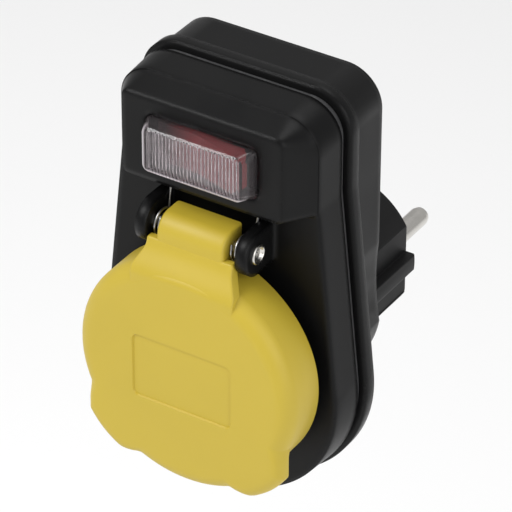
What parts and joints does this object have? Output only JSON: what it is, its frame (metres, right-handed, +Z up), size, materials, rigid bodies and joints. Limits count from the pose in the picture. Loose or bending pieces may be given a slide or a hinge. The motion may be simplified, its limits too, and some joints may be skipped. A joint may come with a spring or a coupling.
{
  "type": "switched wall socket adapter",
  "caption": "Splash-proof plug-in socket adapter with an earthed round plug on its back, a lit rocker switch under a clear boot and a sprung lid over the socket",
  "frame": {"origin": "centre of the plug's pin face, on the plug's axis", "axes": "+X to the right seen from the front, +Y out of the plug along its pins, +Z up"},
  "size_m": [0.0644, 0.0898, 0.1067],
  "materials": {
    "black_shell": "satin",
    "black_insert": "satin",
    "yellow_lid": "satin",
    "seal_rubber": "matte",
    "clear_boot": "clear",
    "red_lens": "gloss",
    "lamp_glass": "clear",
    "resistor_coat": "gloss",
    "nickel": "bright",
    "brass": "satin",
    "steel": "satin"
  },
  "bodies": {
    "housing": {"front_shell": "black_shell", "rear_shell": "black_shell", "shell_seal": "seal_rubber", "housing_screws": "steel", "plug_insert": "black_insert", "left_plug_pin": "nickel", "right_plug_pin": "nickel", "plug_earth_clip": "nickel", "earth_rod": "brass", "socket_insert": "black_insert", "socket_earth_clip": "nickel", "left_contact_sleeve": "brass", "right_contact_sleeve": "brass", "live_inlet_strap": "brass", "live_outlet_strap": "brass", "neutral_strap": "brass", "inlet_terminal": "brass", "outlet_terminal": "brass", "lamp_terminal": "brass", "switch_boot": "clear_boot", "boot_frame": "black_insert", "switch_body": "black_insert", "hinge_pin": "nickel", "left_hinge_spring": "steel", "right_hinge_spring": "steel"},
    "lid": {"lid": "yellow_lid", "lid_seal": "seal_rubber"},
    "rocker": {"rocker_lens": "red_lens", "rocker_base": "black_insert", "rocker_plunger": "black_insert", "plunger_spring": "steel", "glow_lamp": "lamp_glass", "series_resistor": "resistor_coat"},
    "contact": {"moving_contact": "brass"}
  },
  "joints": [
    {"name": "lid_hinge", "type": "hinge", "parent": "housing", "child": "lid", "pos_m": [0, -0.0618, 0.0352], "axis": [-1, 0, 0], "range_deg": [0, 95], "stiffness_Nm_per_rad": 0.03, "springref_deg": -28.65},
    {"name": "rocker_pivot", "type": "hinge", "parent": "housing", "child": "rocker", "pos_m": [0, -0.0566, 0.0553], "axis": [0, 0, 1], "range_deg": [0, 17]},
    {"name": "contact_pivot", "type": "hinge", "parent": "housing", "child": "contact", "pos_m": [0, -0.0499, 0.0553], "axis": [0, 0, 1], "range_deg": [-8, 0]}
  ],
  "couplings": [
    {"joint": "contact_pivot", "follows": "rocker_pivot", "ratio": -0.47059}
  ]
}
